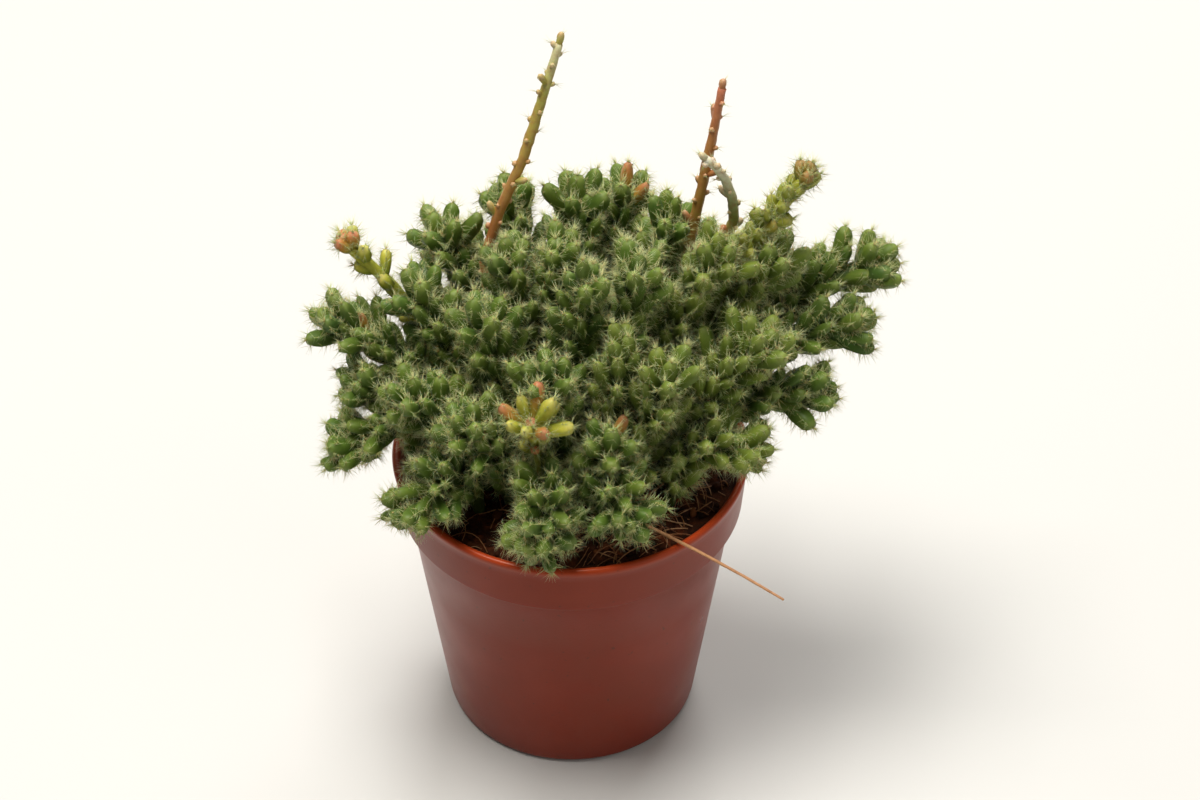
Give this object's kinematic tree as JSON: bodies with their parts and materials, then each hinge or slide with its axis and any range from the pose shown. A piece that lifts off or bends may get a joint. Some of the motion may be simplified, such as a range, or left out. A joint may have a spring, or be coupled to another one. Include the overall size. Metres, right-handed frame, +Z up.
{
  "type": "potted mistletoe cactus",
  "caption": "Dense bush of short stubby cactus branchlets on slender stems, rooted in peat in a small tapered plastic nursery pot.",
  "frame": {"origin": "centre of the pot's flat base, on the surface that it stands on", "axes": "+Z up along the pot's own axis; the picture's viewer stands on the -Y side, and +X is to the viewer's right"},
  "size_m": [0.0895, 0.0688, 0.116],
  "materials": {
    "terracotta_plastic": "satin moulded plastic, terracotta coloured",
    "peat": "rough, damp, fibrous",
    "coir": "dry fibre",
    "stem_green": "waxy, bristly",
    "young_green": "waxy, bristly",
    "shoot_orange": "waxy, bristly"
  },
  "bodies": {
    "root": {"coir_fibre": "coir", "leafy_stem_01": "stem_green", "leafy_stem_02": "stem_green", "leafy_stem_03": "stem_green", "leafy_stem_04": "stem_green", "leafy_stem_05": "stem_green", "leafy_stem_06": "stem_green", "leafy_stem_07": "stem_green", "leafy_stem_08": "stem_green", "leafy_stem_09": "stem_green", "leafy_stem_10": "stem_green", "leafy_stem_11": "stem_green", "leafy_stem_12": "stem_green", "leafy_stem_13": "stem_green", "leafy_stem_14": "stem_green", "leafy_stem_15": "stem_green", "leafy_stem_16": "stem_green", "leafy_stem_17": "stem_green", "leafy_stem_18": "stem_green", "leafy_stem_19": "stem_green", "leafy_stem_20": "stem_green", "leafy_stem_21": "stem_green", "leafy_stem_22": "stem_green", "leafy_stem_23": "stem_green", "leafy_stem_24": "stem_green", "leafy_stem_25": "stem_green", "leafy_stem_26": "stem_green", "leafy_stem_27": "stem_green", "leafy_stem_28": "stem_green", "leafy_stem_29": "stem_green", "leafy_stem_30": "stem_green", "leafy_stem_31": "stem_green", "leafy_stem_32": "stem_green", "leafy_stem_33": "stem_green", "leafy_stem_34": "stem_green", "long_shoot_a": "shoot_orange", "long_shoot_b": "shoot_orange", "long_shoot_c": "shoot_orange", "pot": "terracotta_plastic", "soil": "peat", "young_spray_front": "young_green", "young_spray_left": "young_green", "young_spray_right": "young_green"}
  },
  "joints": []
}
